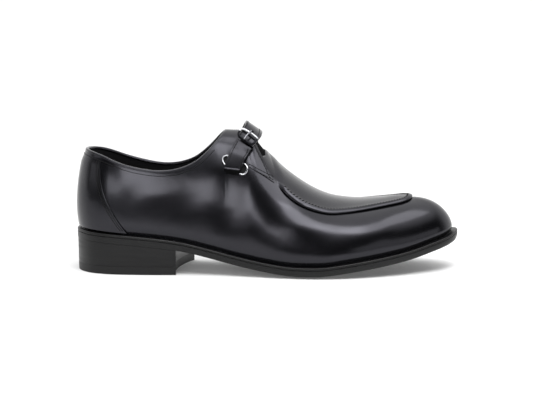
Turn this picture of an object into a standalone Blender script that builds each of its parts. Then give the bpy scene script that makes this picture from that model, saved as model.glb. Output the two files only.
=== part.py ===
# Monk strap shoe with an apron toe, right foot. Millimetres in the tables, metres in the scene.
# +X points to the toe, +Y to the inner (medial) side, +Z up. The floor is z = 0.
import bisect
import math

import bmesh
import bpy
from mathutils import Quaternion, Vector

MM = 0.001
LENGTH = 300.0
ORIGIN_X = 149.62
ORIGIN_Y = -3.486
GAP = 0.35
APRON_GAP = 0.65
TONGUE_GAP = 1.5
TONGUE_THICK = 1.6
WALL = 2.2
OUTSOLE_THICK = 4.4
WELT_THICK = 2.0
INSOLE_THICK = 2.6
TOP_LIFT_THICK = 6.0
EDGE_UNDERCUT = 0.9
EDGE_ROUNDING = 1.4
WELT_REACH = 9.0
INSOLE_EASE = 0.9
HEEL_INSET = 0.3
HEEL_TAPER = 0.5
LIFT_TAPER_SHARE = 0.7
HEEL_HOLLOW = 6.0
BREAST_LATERAL = 79.0
BREAST_MEDIAL = 91.0
THROAT = 117.5
STRAP_THICK = 1.8
OVERLAY_THICK = 1.1
EDGE_LIFT_START = 0.62
TOE_POLE = 0.985
POLE_CLIMB = 0.96

# Outline of the sole seen from above: distance from the middle line to each edge.
SOLE_PLAN = (
    ("x", "lateral", "medial"),
    (0.0, 0.0, 0.0),
    (4.0, -15.0, 15.0),
    (15.0, -26.5, 26.5),
    (32.0, -32.3, 32.0),
    (55.0, -34.2, 33.4),
    (85.0, -34.8, 31.6),
    (112.0, -38.0, 29.5),
    (140.0, -44.5, 31.5),
    (170.0, -51.0, 38.5),
    (195.0, -53.0, 44.0),
    (218.0, -50.5, 46.0),
    (240.0, -44.0, 43.6),
    (262.0, -35.0, 38.0),
    (280.0, -25.5, 31.0),
    (292.0, -16.0, 22.0),
    (298.0, -7.0, 13.2),
    (300.0, 3.0, 3.0),
)

# Underside of the sole along the middle line, how far its outer edges curl up, and the lift of the arch.
SOLE_SIDE = (
    ("x", "bottom", "edge_lift", "arch"),
    (0.0, 26.0, 0.0, 0.0),
    (40.0, 23.6, 0.0, 0.0),
    (80.0, 19.0, 0.3, 0.6),
    (98.0, 14.6, 0.8, 2.4),
    (129.0, 6.8, 1.2, 2.6),
    (152.0, 2.4, 1.5, 1.0),
    (170.0, 0.0, 1.8, 0.0),
    (190.0, 0.0, 1.8, 0.0),
    (208.0, 2.4, 1.8, 0.0),
    (233.0, 6.0, 1.6, 0.0),
    (259.0, 10.8, 1.2, 0.0),
    (277.0, 16.0, 0.7, 0.0),
    (291.0, 20.2, 0.3, 0.0),
    (300.0, 24.2, 0.0, 0.0),
)

# The upper, a row for each section: inset of its foot from the sole edge, the spine point that its
# section climbs to (behind the throat this is the cone of the last, above the collar), how full the
# section is, and the height and depth of the swell above the foot.
UPPER = (
    ("x", "inset", "spine_x", "spine_y", "spine_z", "fullness", "swell", "swell_height"),
    (0.0, 2.4, 34.0, 0.0, 127.0, 2.3, 2.2, 26.0),
    (30.0, 2.6, 46.0, 0.0, 121.0, 2.18, 1.4, 15.0),
    (60.0, 3.0, 66.0, 0.5, 114.0, 2.1, 1.1, 12.0),
    (90.0, 3.6, 91.0, 2.0, 111.6, 2.05, 0.9, 10.0),
    (108.0, 4.0, 108.0, 3.0, 111.2, 2.02, 0.8, 9.5),
    (THROAT, 4.1, THROAT, 3.3, 109.8, 2.0, 0.8, 9.0),
    (127.0, 4.3, 127.0, 3.5, 109.3, 2.0, 0.9, 9.0),
    (135.0, 4.4, 135.0, 3.6, 109.8, 2.0, 1.0, 9.0),
    (146.0, 4.5, 146.0, 3.7, 98.0, 2.0, 1.1, 9.0),
    (156.0, 4.6, 156.0, 3.8, 84.0, 2.0, 1.2, 9.0),
    (169.0, 4.7, 169.0, 3.8, 72.8, 2.05, 1.4, 9.0),
    (185.0, 4.8, 185.0, 3.6, 62.4, 2.1, 1.7, 10.0),
    (200.0, 4.8, 200.0, 3.4, 56.2, 2.15, 1.7, 9.5),
    (220.0, 4.6, 220.0, 3.2, 53.6, 2.2, 1.5, 9.0),
    (245.0, 4.4, 238.0, 3.0, 54.4, 2.2, 1.2, 8.5),
    (270.0, 4.2, 253.0, 3.0, 55.8, 2.1, 0.9, 8.0),
    (290.0, 4.1, 264.0, 3.0, 56.0, 1.98, 0.6, 8.0),
    (300.0, 4.0, 267.0, 3.0, 55.6, 1.92, 0.5, 8.0),
)

# Height of the collar edge above the floor on each side, back to front.
TOPLINE = (
    ("x", "lateral", "medial"),
    (0.0, 95.0, 95.0),
    (14.0, 92.0, 92.8),
    (36.0, 84.6, 86.1),
    (54.0, 80.8, 81.7),
    (70.0, 79.5, 79.5),
    (86.0, 82.4, 81.4),
    (98.0, 89.6, 89.0),
    (107.0, 98.2, 97.5),
    (112.5, 104.2, 104.2),
    (THROAT, 109.8, 109.8),
)

# Front edge of the heel counter: how far forward it reaches at each share of the wall's height.
COUNTER_EDGE = (
    ("share", "x"),
    (0.0, 42.0),
    (0.12, 36.5),
    (0.3, 28.5),
    (0.5, 22.0),
    (0.72, 18.0),
    (1.0, 16.5),
)

# Apron of the toe seen from above: its edge on each side, and the place on the spine that a line
# across the apron runs to from there.
APRON_EDGE = (
    ("step", "x", "lateral", "medial", "spine_x"),
    (0.0, 157.0, -24.2, 19.5, 150.6),
    (1.0, 167.0, -28.8, 23.0, 164.0),
    (2.0, 180.0, -31.1, 26.0, 180.0),
    (3.0, 195.0, -30.8, 27.2, 195.0),
    (4.0, 210.0, -27.1, 26.2, 209.0),
    (5.0, 225.0, -22.4, 23.6, 222.0),
    (6.0, 238.0, -17.8, 20.6, 233.0),
    (7.0, 248.0, -14.0, 18.0, 242.0),
    (8.0, 256.0, -10.4, 15.0, 248.5),
    (9.0, 261.5, -5.8, 11.0, 252.5),
    (10.0, 263.6, -1.2, 6.8, 254.5),
    (11.0, 264.2, 3.0, 3.0, 255.0),
)

# Raised seam of the apron: distance in from its edge, and thickness there. The plug inside is thinner.
APRON_SEAM = (
    ("inwards", "thick"),
    (0.0, 0.9),
    (1.4, 1.7),
    (3.0, 2.0),
    (4.4, 1.0),
)
APRON_PLUG_THICK = 0.9
APRON_PLUG_SHARES = (0.3, 0.65, 1.0)
APRON_LINES = 21


def column(table, name, key):
    """A smooth monotone curve through one named column of a table, as a function of another column."""
    head = table[0]
    xs = [row[head.index(key)] for row in table[1:]]
    ys = [row[head.index(name)] for row in table[1:]]
    steps = [(ys[i + 1] - ys[i]) / (xs[i + 1] - xs[i]) for i in range(len(xs) - 1)]
    slopes = [steps[0]]
    for a, b in zip(steps, steps[1:]):
        slopes.append(0.0 if a * b <= 0 else 2 * a * b / (a + b))
    slopes.append(steps[-1])

    def at(x):
        x = min(max(x, xs[0]), xs[-1])
        i = min(bisect.bisect_right(xs, x) - 1, len(xs) - 2)
        width = xs[i + 1] - xs[i]
        t = (x - xs[i]) / width
        rise = (2 * t + 1) * (1 - t) ** 2 * ys[i] + t * t * (3 - 2 * t) * ys[i + 1]
        return rise + width * t * (1 - t) * ((1 - t) * slopes[i] - t * slopes[i + 1])

    return at


def turned(x):
    """Place along the sole as an angle share, 0 at the heel's back and 1 at the toe's tip."""
    return math.acos(max(-1.0, min(1.0, 1 - 2 * x / LENGTH))) / math.pi


def along(s):
    """Length along the sole at an angle share."""
    return LENGTH * (1 - math.cos(math.pi * s)) / 2


def by_turn(table):
    """The same table with its x column turned into angle shares, so that round ends stay round."""
    return (table[0],) + tuple((turned(row[0]),) + row[1:] for row in table[1:])


PLAN = {side: column(by_turn(SOLE_PLAN), side, "x") for side in ("lateral", "medial")}
SIDE_VIEW = {name: column(SOLE_SIDE, name, "x") for name in SOLE_SIDE[0][1:]}
FORM = {name: column(UPPER, name, "x") for name in UPPER[0][1:]}
COLLAR = {side: column(TOPLINE, side, "x") for side in ("lateral", "medial")}
COUNTER_X = column(COUNTER_EDGE, "x", "share")
APRON = {name: column(APRON_EDGE, name, "step") for name in APRON_EDGE[0][1:]}


def sole_edge(s, side, inset=0.0):
    """Point of the sole's outline, moved inwards square to the outline."""
    step = 0.004
    low, high = max(0.0, s - step), min(1.0, s + step)
    x, y = along(s), PLAN[side](s)
    outward = -1.0 if side == "lateral" else 1.0
    dx = along(high) - along(low)
    dy = PLAN[side](high) - PLAN[side](low)
    if s <= 0.0 or s >= 1.0:
        return (inset, y) if s <= 0.0 else (x - inset, y)
    size = math.hypot(dx, dy)
    return x + dy / size * outward * inset, y - dx / size * outward * inset


def sole_under(x, y):
    """Height of the sole's underside at a place."""
    s = turned(x)
    half = PLAN["medial"](s) if y > 0 else -PLAN["lateral"](s)
    w = min(1.0, abs(y) / max(half, 1.0))
    curl = max(0.0, (w - EDGE_LIFT_START) / (1 - EDGE_LIFT_START)) ** 2
    arch = SIDE_VIEW["arch"](x) * w * w if y > 0 else 0.0
    return SIDE_VIEW["bottom"](x) + curl * SIDE_VIEW["edge_lift"](x) + arch


def foot_height(x, y):
    """Height at which the upper stands on the welt."""
    return sole_under(x, y) + OUTSOLE_THICK + WELT_THICK + 2 * GAP


def last_point(s, side, climb):
    """The upper's outer face. climb runs from 0 at the foot of the section to 1 at the spine.
    Past 1 it goes down the other side."""
    if climb > 1.0:
        side = "medial" if side == "lateral" else "lateral"
        climb = 2.0 - climb
    if s < 0.0 or s > 1.0:
        side = "medial" if side == "lateral" else "lateral"
        s = -s if s < 0.0 else 2.0 - s
    x = along(s)
    foot_x, foot_y = sole_edge(s, side, FORM["inset"](x))
    foot_z = foot_height(foot_x, foot_y)
    spine_x, spine_y, spine_z = (FORM[n](x) for n in ("spine_x", "spine_y", "spine_z"))
    power = 2.0 / FORM["fullness"](x)
    angle = climb * math.pi / 2
    spread = max(0.0, math.cos(angle)) ** power
    rise = math.sin(angle) ** power * (spine_z - foot_z)
    out_x, out_y = foot_x - spine_x, foot_y - spine_y
    reach = math.hypot(out_x, out_y)
    level = rise / FORM["swell_height"](x)
    swell = FORM["swell"](x) * level * math.exp(1 - level)
    spread *= 1 + swell / reach
    return Vector((spine_x + out_x * spread, spine_y + out_y * spread, foot_z + rise))


def climb_to(s, side, height):
    """The climb at which a section reaches a height."""
    low, high = 0.0, 1.0
    if last_point(s, side, 1.0).z <= height:
        return 1.0
    for _ in range(30):
        middle = (low + high) / 2
        if last_point(s, side, middle).z < height:
            low = middle
        else:
            high = middle
    return high


def last_normal(s, side, climb):
    """Direction straight out of the upper's outer face."""
    ds, dc = 0.004, 0.01
    climb = max(climb, dc)
    if s > TOE_POLE:
        climb = min(climb, POLE_CLIMB)
    forward = last_point(s + ds, side, climb) - last_point(s - ds, side, climb)
    if s + ds > 1.0 or s - ds < 0.0:
        forward = Vector((0.0, 1.0 if side == "medial" else -1.0, 0.0)) * (1.0 if s < 0.5 else -1.0)
    rising = last_point(s, side, climb + dc) - last_point(s, side, climb - dc)
    out = forward.cross(rising) if side == "lateral" else rising.cross(forward)
    return out.normalized()


def on_plan(x, y):
    """Station, side and climb of the upper's face above a place on the plan of the vamp."""
    side = "lateral" if y <= FORM["spine_y"](x) else "medial"
    outward = -1.0 if side == "lateral" else 1.0
    low, high = x - 10.0, LENGTH
    for _ in range(40):
        middle = (low + high) / 2
        spine = (FORM["spine_x"](middle), FORM["spine_y"](middle))
        foot = sole_edge(turned(middle), side, FORM["inset"](middle))
        ahead = (foot[0] - spine[0]) * (y - spine[1]) - (foot[1] - spine[1]) * (x - spine[0])
        if ahead * outward < 0:
            low = middle
        else:
            high = middle
    s = turned(high)
    wanted = math.hypot(x - spine[0], y - spine[1])
    low, high = 0.2, 1.0
    for _ in range(30):
        middle = (low + high) / 2
        place = last_point(s, side, middle)
        if math.hypot(place.x - spine[0], place.y - spine[1]) > wanted:
            low = middle
        else:
            high = middle
    return s, side, high


def raised(s, side, climb, offset):
    """A point a given distance outside the upper's outer face."""
    return last_point(s, side, climb) + last_normal(s, side, climb) * offset


def material(name, colour, roughness, metallic):
    made = bpy.data.materials.new(name)
    made.use_nodes = True
    shader = made.node_tree.nodes["Principled BSDF"]
    shader.inputs["Base Color"].default_value = (*colour, 1.0)
    shader.inputs["Roughness"].default_value = roughness
    shader.inputs["Metallic"].default_value = metallic
    return made


def new_object(name, bm, finish):
    """Closes a bmesh off as a named object in metres, with its faces pointing out."""
    bmesh.ops.remove_doubles(bm, verts=bm.verts, dist=1e-4)
    bmesh.ops.dissolve_degenerate(bm, edges=bm.edges, dist=1e-5)
    bmesh.ops.triangulate(bm, faces=[f for f in bm.faces if len(f.verts) > 3])
    bmesh.ops.recalc_face_normals(bm, faces=bm.faces)
    bmesh.ops.scale(bm, vec=(MM, MM, MM), verts=bm.verts)
    bmesh.ops.translate(bm, vec=(-ORIGIN_X * MM, -ORIGIN_Y * MM, 0), verts=bm.verts)
    mesh = bpy.data.meshes.new(name)
    bm.to_mesh(mesh)
    bm.free()
    mesh.shade_smooth()
    mesh.set_sharp_from_angle(angle=math.radians(35))
    mesh.materials.append(finish)
    made = bpy.data.objects.new(name, mesh)
    bpy.context.scene.collection.objects.link(made)
    return made


def skin(bm, rows, closed=False):
    """Quads over a grid of points."""
    verts = [[bm.verts.new(p) for p in row] for row in rows]
    pairs = list(zip(verts, verts[1:]))
    if closed:
        pairs.append((verts[-1], verts[0]))
    for a, b in pairs:
        for k in range(len(a) - 1):
            bm.faces.new((a[k], a[k + 1], b[k + 1], b[k]))
    return verts


def slab(name, lower, upper, finish, waists=()):
    """A solid between two grids of points. waists are grids whose edges shape the side between them."""
    bm = bmesh.new()
    skin(bm, lower)
    skin(bm, upper)

    def rim(rows):
        return (
            [row[0] for row in rows]
            + rows[-1][1:]
            + [row[-1] for row in reversed(rows[:-1])]
            + list(reversed(rows[0][1:-1]))
        )

    bands = [rim(rows) for rows in (lower, *waists, upper)]
    for low, high in zip(bands, bands[1:]):
        skin(bm, [low + low[:1], high + high[:1]])
    return new_object(name, bm, finish)


def spaced(low, high, count):
    return [low + (high - low) * k / (count - 1) for k in range(count)]


SOLE_ACROSS = (-1.0, -0.8, -0.6, 0.0, 0.6, 0.8, 1.0)
FOREFOOT_FLAT = (170.0, 180.0, 190.0)
SOLE_ROWS_BEHIND = 20
SOLE_ROWS_AHEAD = 15
WELT_ROWS = 40
HEEL_ROWS = 15
UNDERCUT_FROM = 74.0
UNDERCUT_FULL = 100.0

# Section of the welt, from its lower outer corner round to its inner face.
WELT_SECTION = (
    ("inset", "height"),
    (0.5, 0.0),
    (0.0, 0.6),
    (0.1, 1.4),
    (0.8, WELT_THICK),
    (WELT_REACH, WELT_THICK),
    (WELT_REACH, 0.0),
    (0.5, 0.0),
)


def sole_stations():
    """Angle shares for the sole, with stations at both ends of the flat forefoot."""
    flat = [turned(x) for x in FOREFOOT_FLAT]
    behind = spaced(0.0, flat[0], SOLE_ROWS_BEHIND)
    ahead = spaced(flat[-1], 1.0, SOLE_ROWS_AHEAD)
    return behind[:-1] + flat + ahead[1:]


def undercut(x):
    """How far the outsole's lower edge is cut in. Over the heel it is flush."""
    share = (x - UNDERCUT_FROM) / (UNDERCUT_FULL - UNDERCUT_FROM)
    return EDGE_UNDERCUT * min(1.0, max(0.0, share))


def upper_room(x):
    """Inset of the room inside the upper."""
    return FORM["inset"](x) + WALL + INSOLE_EASE


def steady(value):
    """The same value all along the sole."""
    return lambda x: value


def sole_grid(inset, height):
    """Grid over the sole's outline, moved in by inset(x), at a height above its underside."""
    rows = []
    for s in sole_stations():
        depth = inset(along(s))
        (lx, ly), (mx, my) = (sole_edge(s, side, depth) for side in ("lateral", "medial"))
        row = []
        for w in SOLE_ACROSS:
            t = (w + 1) / 2
            x, y = lx + (mx - lx) * t, ly + (my - ly) * t
            row.append(Vector((x, y, sole_under(x, y) + height)))
        rows.append(row)
    return rows


def make_outsole(finish):
    lower = sole_grid(undercut, 0.0)
    waist = sole_grid(steady(0.0), EDGE_ROUNDING)
    slab("outsole", lower, sole_grid(steady(0.0), OUTSOLE_THICK), finish, [waist])


def make_welt(finish):
    """Strip all round the sole's edge, with a rounded outer face."""
    base = OUTSOLE_THICK + GAP
    rows = []
    stations = spaced(0.0, 1.0, WELT_ROWS)
    loop = [(s, "lateral") for s in stations] + [(s, "medial") for s in reversed(stations[1:-1])]
    for s, side in loop:
        row = []
        for inset, height in WELT_SECTION[1:]:
            x, y = sole_edge(s, side, inset)
            row.append(Vector((x, y, sole_under(x, y) + base + height)))
        rows.append(row)
    bm = bmesh.new()
    skin(bm, rows, closed=True)
    new_object("welt", bm, finish)


def make_insole(finish):
    """Insole on the welt inside the upper. Its filler goes down inside the welt to the outsole."""
    base = OUTSOLE_THICK + GAP
    seat = base + WELT_THICK + GAP
    filler = steady(WELT_REACH + GAP)
    lower = sole_grid(filler, base)
    waists = [sole_grid(filler, seat), sole_grid(upper_room, seat)]
    slab("insole", lower, sole_grid(upper_room, seat + INSOLE_THICK), finish, waists)


def heel_grid(inset, height_at):
    """Grid over the heel: from its back to a hollow breast that runs further forward on the inside."""
    rows = []
    ends = {"lateral": turned(BREAST_LATERAL), "medial": turned(BREAST_MEDIAL)}
    for u in spaced(0.0, 1.0, HEEL_ROWS):
        (lx, ly), (mx, my) = (sole_edge(u * ends[side], side, inset) for side in ("lateral", "medial"))
        row = []
        for w in SOLE_ACROSS:
            t = (w + 1) / 2
            x = lx + (mx - lx) * t - HEEL_HOLLOW * u ** 4 * (1 - w * w)
            y = ly + (my - ly) * t
            row.append(Vector((x, y, height_at(x, y))))
        rows.append(row)
    return rows


def make_heel(stack_finish, lift_finish):
    def flat(height):
        return lambda x, y: height

    seam = HEEL_INSET + HEEL_TAPER * LIFT_TAPER_SHARE
    slab(
        "heel_stack",
        heel_grid(seam, flat(TOP_LIFT_THICK + GAP)),
        heel_grid(HEEL_INSET, lambda x, y: sole_under(x, y) - GAP),
        stack_finish,
    )
    slab(
        "top_lift",
        heel_grid(HEEL_INSET + HEEL_TAPER, flat(0.0)),
        heel_grid(seam, flat(TOP_LIFT_THICK)),
        lift_finish,
    )


COLLAR_FRONT = (92.0, 99.0, 104.5, 109.0, 112.5, 115.0, 116.7)
COLLAR_ROWS_BEHIND = 13
INSTEP_END = 215.0
INSTEP_ROWS = 14
TOE_ROWS = 13
CLIMB_ROWS = 11


def upper_stations():
    """Angle shares for the upper: the collar first, then the vamp."""
    throat = turned(THROAT)
    front = [turned(x) for x in COLLAR_FRONT]
    behind = spaced(0.0, front[0], COLLAR_ROWS_BEHIND)
    instep = [turned(x) for x in spaced(THROAT, INSTEP_END, INSTEP_ROWS)]
    return behind + front[1:] + [throat], instep + spaced(instep[-1], 1.0, TOE_ROWS)[1:]


def make_upper(finish):
    """Side walls and vamp as one wall from the foot to the collar or the spine, open at both."""
    collar, vamp = upper_stations()
    bm = bmesh.new()
    for side in ("lateral", "medial"):
        outer, inner = [], []
        for s in collar + vamp[1:]:
            top = climb_to(s, side, COLLAR[side](along(s))) if s < collar[-1] else 1.0
            climbs = spaced(0.0, top, CLIMB_ROWS)
            outer.append([last_point(s, side, c) for c in climbs])
            inner.append([raised(s, side, c, -WALL) for c in climbs])
        skin(bm, outer)
        skin(bm, inner)
        skin(bm, [[a[0], b[0]] for a, b in zip(outer, inner)])
        rim = list(zip(outer, inner))[: len(collar)]
        skin(bm, [[a[-1], b[-1]] for a, b in rim])
    return new_object("upper", bm, finish)


def patch(name, grid, thick, finish, base=GAP):
    """An overlay from the upper's own face: grid of (s, side, climb), laid base outside it."""
    lower = [[raised(*place, base) for place in row] for row in grid]
    upper = [
        [raised(*place, base + thick(i, j)) for j, place in enumerate(row)]
        for i, row in enumerate(grid)
    ]
    return slab(name, lower, upper, finish)


COUNTER_LOW = 0.02
COUNTER_HIGH = 0.985
COUNTER_ROWS = 9
COUNTER_COLUMNS = 17


def make_counter(finish):
    """Leather piece round the back of the heel, over the upper."""
    grid = []
    for share in spaced(COUNTER_LOW, COUNTER_HIGH, COUNTER_ROWS):
        reach = turned(COUNTER_X(share))
        row = []
        for u in spaced(-1.0, 1.0, COUNTER_COLUMNS):
            side = "lateral" if u <= 0 else "medial"
            s = abs(u) * reach
            top = climb_to(s, side, COLLAR[side](along(s)))
            row.append((s, side, share * top))
        grid.append(row)
    patch("heel_counter", grid, lambda i, j: OVERLAY_THICK, finish)


def make_apron(finish):
    """Plug of the apron toe, with a raised seam just inside its edge. It is laid in lines across,
    from the edge to the spine, that fan out round its front."""
    steps = spaced(0.0, APRON_EDGE[-1][0], APRON_LINES)
    lines = [("lateral", t) for t in steps] + [("medial", t) for t in reversed(steps[:-1])]
    lower, upper = [], []
    for side, t in lines:
        edge = Vector((APRON["x"](t), APRON[side](t)))
        spine_x = APRON["spine_x"](t)
        spine = Vector((spine_x, FORM["spine_y"](spine_x)))
        length = (spine - edge).length
        rows = [(inwards / length, thick) for inwards, thick in APRON_SEAM[1:]]
        last = rows[-1][0]
        rows += [(last + (1 - last) * k, APRON_PLUG_THICK) for k in APRON_PLUG_SHARES]
        places = [(on_plan(*edge.lerp(spine, share)), thick) for share, thick in rows]
        lower.append([raised(*place, APRON_GAP) for place, thick in places])
        upper.append([raised(*place, APRON_GAP + thick) for place, thick in places])
    for rows in (lower, upper):
        for k in range(len(steps) - 1):
            rows[-1 - k][-1] = rows[k][-1]
    bm = bmesh.new()
    skin(bm, lower)
    skin(bm, upper)
    skin(bm, [rows[0][::-1] + [row[0] for row in rows[1:-1]] + rows[-1] for rows in (lower, upper)])
    new_object("apron", bm, finish)


FACING_COUNT = 8
FACING_THIN = 0.4

# Corners of each front flap: its back edge, skived thin, and its front edge.
FACING = (
    ("row", "back_x", "back_climb", "front_x", "front_climb"),
    (0.0, 127.5, 0.9, 135.5, 0.875),
    (1.0, 136.6, 0.497, 154.5, 0.594),
)
FLAP = {name: column(FACING, name, "row") for name in FACING[0][1:]}


def make_facings(finish):
    """Front flaps of the quarters, which close over the tongue under the strap."""
    shares = spaced(0.0, 1.0, FACING_COUNT)

    def thick(i, j):
        return OVERLAY_THICK * (FACING_THIN + (1 - FACING_THIN) * shares[j])

    for side in ("lateral", "medial"):
        grid = []
        for u in shares:
            row = []
            for v in shares:
                x = FLAP["back_x"](u) * (1 - v) + FLAP["front_x"](u) * v
                climb = FLAP["back_climb"](u) * (1 - v) + FLAP["front_climb"](u) * v
                row.append((turned(x), side, climb))
            grid.append(row)
        patch("facing_" + side, grid, thick, finish)


TONGUE_LOW = 0.74
TONGUE_BACK = 115.5
TONGUE_FRONT = 148.0
TONGUE_CLIMBS = 5
TONGUE_ROWS = 7


def make_tongue(finish):
    """Tongue under the front of the collar, against the inside of the upper."""
    climbs = spaced(TONGUE_LOW, 1.0, TONGUE_CLIMBS)
    across = [("lateral", c) for c in climbs]
    across += [("medial", c) for c in reversed(climbs[:-1])]
    lengths = spaced(TONGUE_BACK, TONGUE_FRONT, TONGUE_ROWS)
    grid = [[(turned(x), side, c) for side, c in across] for x in lengths]
    depth = WALL + TONGUE_GAP
    patch("tongue", grid, lambda i, j: TONGUE_THICK, finish, base=-depth - TONGUE_THICK)


STRAP_BASE = GAP + OVERLAY_THICK + 2 * GAP
OVER_RING = STRAP_BASE + 0.7

# Middle line of the strap over the instep, from the tab's end on the outer side to the inner side:
# x and climb (past 1 on the inner side), height over the upper, width, and turn in degrees.
STRAP_LINE = (
    ("step", "x", "climb", "base", "width", "turn"),
    (0.0, 121.5, 0.452, 0.6, 12.6, 0.0),
    (0.035, 121.8, 0.464, 1.5, 12.8, 0.0),
    (0.07, 122.2, 0.479, OVER_RING, 13.0, 0.0),
    (0.12, 123.1, 0.51, OVER_RING, 13.2, 0.0),
    (0.18, 124.5, 0.547, OVER_RING, 13.5, 2.0),
    (0.23, 125.9, 0.58, OVER_RING, 13.8, 4.0),
    (0.33, 129.4, 0.65, STRAP_BASE, 14.6, 9.0),
    (0.5, 134.6, 0.755, STRAP_BASE, 15.4, 14.0),
    (0.6, 136.6, 0.82, STRAP_BASE, 15.4, 10.0),
    (0.8, 137.4, 0.96, STRAP_BASE, 15.4, 0.0),
    (1.0, 137.2, 1.08, STRAP_BASE, 15.4, 0.0),
    (1.4, 134.6, 1.33, STRAP_BASE, 15.4, 0.0),
)
STRAP = {name: column(STRAP_LINE, name, "step") for name in STRAP_LINE[0][1:]}
STRAP_END = STRAP_LINE[-1][0]
STRAP_COLUMNS = 7
STEP_AHEAD = 0.02
TAB_END = 0.402
STRAP_START = 0.42
TAB_ROUNDING = 0.05
TAB_ROWS = 15
STRAP_ROWS = 16


def strap_place(step):
    """Station, climb and point of the upper under the strap's middle line."""
    s, climb = turned(STRAP["x"](step)), STRAP["climb"](step)
    return s, climb, last_point(s, "lateral", climb)


def on_strap(step, across, height):
    """A point of the strap, which is flat across: step along its middle line, millimetres across it,
    and height over its underside."""
    s, climb, here = strap_place(step)
    behind = strap_place(max(0.0, step - STEP_AHEAD))[2]
    ahead = strap_place(min(STRAP_END, step + STEP_AHEAD))[2]
    out = last_normal(s, "medial", 2.0 - climb) if climb > 1.0 else last_normal(s, "lateral", climb)
    sideways = (ahead - behind).cross(out).normalized()
    sideways.rotate(Quaternion(out, math.radians(-STRAP["turn"](step))))
    return here + sideways * across + out * (STRAP["base"](step) + height)


def strap_piece(name, first, last, count, finish, rounding=0.0):
    """A length of strap. rounding is how far its first end falls back at the corners."""
    lower, upper = [], []
    for u in spaced(0.0, 1.0, count):
        row = []
        for share in spaced(-1.0, 1.0, STRAP_COLUMNS):
            start = first + rounding * share * share
            step = start + (last - start) * u
            row.append((step, share * STRAP["width"](step) / 2))
        lower.append([on_strap(*place, 0.0) for place in row])
        upper.append([on_strap(*place, STRAP_THICK) for place in row])
    slab(name, lower, upper, finish)


WIRE_SIDES = 8
RING_POINTS = 22
SLOT = {"x": 124.2, "climb": 0.527, "half_run": 6.0, "radius": 4.2, "lean": 27.0, "wire": 0.75}
CLIMB_STEP = 0.01


def tube(name, path, radius, finish, cyclic=True):
    """A round bar along a list of points in millimetres."""
    curve = bpy.data.curves.new(name, "CURVE")
    curve.dimensions = "3D"
    curve.bevel_depth = radius * MM
    curve.bevel_resolution = WIRE_SIDES // 2 - 2
    curve.use_fill_caps = not cyclic
    spline = curve.splines.new("POLY")
    spline.points.add(len(path) - 1)
    for point, place in zip(spline.points, path):
        point.co = ((place.x - ORIGIN_X) * MM, (place.y - ORIGIN_Y) * MM, place.z * MM, 1.0)
    spline.use_cyclic_u = cyclic
    curve.materials.append(finish)
    made = bpy.data.objects.new(name, curve)
    bpy.context.scene.collection.objects.link(made)
    return made


def slot_ring_place(angle):
    """A point of the slot's edging: two half circles joined by straight runs, laid on the upper."""
    c, s = math.cos(angle), math.sin(angle)
    u = SLOT["radius"] * c + math.copysign(SLOT["half_run"], c)
    v = SLOT["radius"] * s
    station = turned(SLOT["x"])
    rise = last_point(station, "lateral", SLOT["climb"] + CLIMB_STEP)
    rise -= last_point(station, "lateral", SLOT["climb"])
    lean = math.radians(SLOT["lean"])
    x = SLOT["x"] + u * math.cos(lean) + v * math.sin(lean)
    up = v * math.cos(lean) - u * math.sin(lean)
    return x, SLOT["climb"] + CLIMB_STEP * up / rise.length


def make_slot_ring(finish):
    path = []
    for k in range(RING_POINTS):
        x, climb = slot_ring_place(2 * math.pi * (k + 0.5) / RING_POINTS)
        path.append(raised(turned(x), "lateral", climb, GAP + SLOT["wire"]))
    tube("slot_ring", path, SLOT["wire"], finish)


# Buckle: its middle on the strap's line, half its size across and along, and how square each side is.
BUCKLE = {
    "step": 0.477,
    "across": 8.3,
    "along": 0.06,
    "gap": 0.75,
    "wire": 1.05,
    "ends": 0.55,
    "bar": 0.4,
    "bow": 0.8,
}
PRONG = {"wire": 0.7, "first": -1.1, "last": 1.2, "points": 8}


def signed_power(value, power):
    return math.copysign(abs(value) ** power, value)


def make_buckle(finish):
    """Frame over the strap: a straight bar on top, a bowed bar below, and the prong between them."""
    seat = STRAP_THICK + BUCKLE["gap"]
    path = []
    for k in range(RING_POINTS):
        angle = 2 * math.pi * (k + 0.5) / RING_POINTS
        c, s = math.cos(angle), math.sin(angle)
        bend = BUCKLE["bar"] if s > 0 else BUCKLE["bow"]
        step = BUCKLE["step"] + BUCKLE["along"] * signed_power(s, bend)
        across = BUCKLE["across"] * signed_power(c, BUCKLE["ends"])
        path.append(on_strap(step, across, seat + BUCKLE["wire"]))
    tube("buckle_frame", path, BUCKLE["wire"], finish)
    rise = seat + 2 * BUCKLE["wire"] + GAP + PRONG["wire"]
    shares = spaced(PRONG["first"], PRONG["last"], PRONG["points"])
    prong = [on_strap(BUCKLE["step"] + BUCKLE["along"] * t, 0.0, rise) for t in shares]
    tube("buckle_prong", prong, PRONG["wire"], finish, cyclic=False)


# Finishes of the real materials.
FINISHES = (
    ("name", "colour", "roughness", "metallic"),
    ("polished_calf", (0.02, 0.02, 0.023), 0.28, 0.0),
    ("waxed_sole_edge", (0.025, 0.025, 0.027), 0.45, 0.0),
    ("heel_rubber", (0.022, 0.022, 0.023), 0.6, 0.0),
    ("lining_leather", (0.03, 0.03, 0.032), 0.6, 0.0),
    ("polished_steel", (0.75, 0.75, 0.76), 0.18, 1.0),
)


def main():
    for old in list(bpy.data.objects):
        bpy.data.objects.remove(old)
    leather, edge, rubber, lining, steel = (material(*row) for row in FINISHES[1:])
    make_heel(edge, rubber)
    make_outsole(edge)
    make_welt(edge)
    make_insole(lining)
    make_upper(leather)
    make_counter(leather)
    make_apron(leather)
    make_facings(leather)
    make_tongue(lining)
    strap_piece("strap", STRAP_START, STRAP_END, STRAP_ROWS, leather)
    strap_piece("buckle_tab", 0.0, TAB_END, TAB_ROWS, leather, TAB_ROUNDING)
    make_slot_ring(steel)
    make_buckle(steel)


main()
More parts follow.
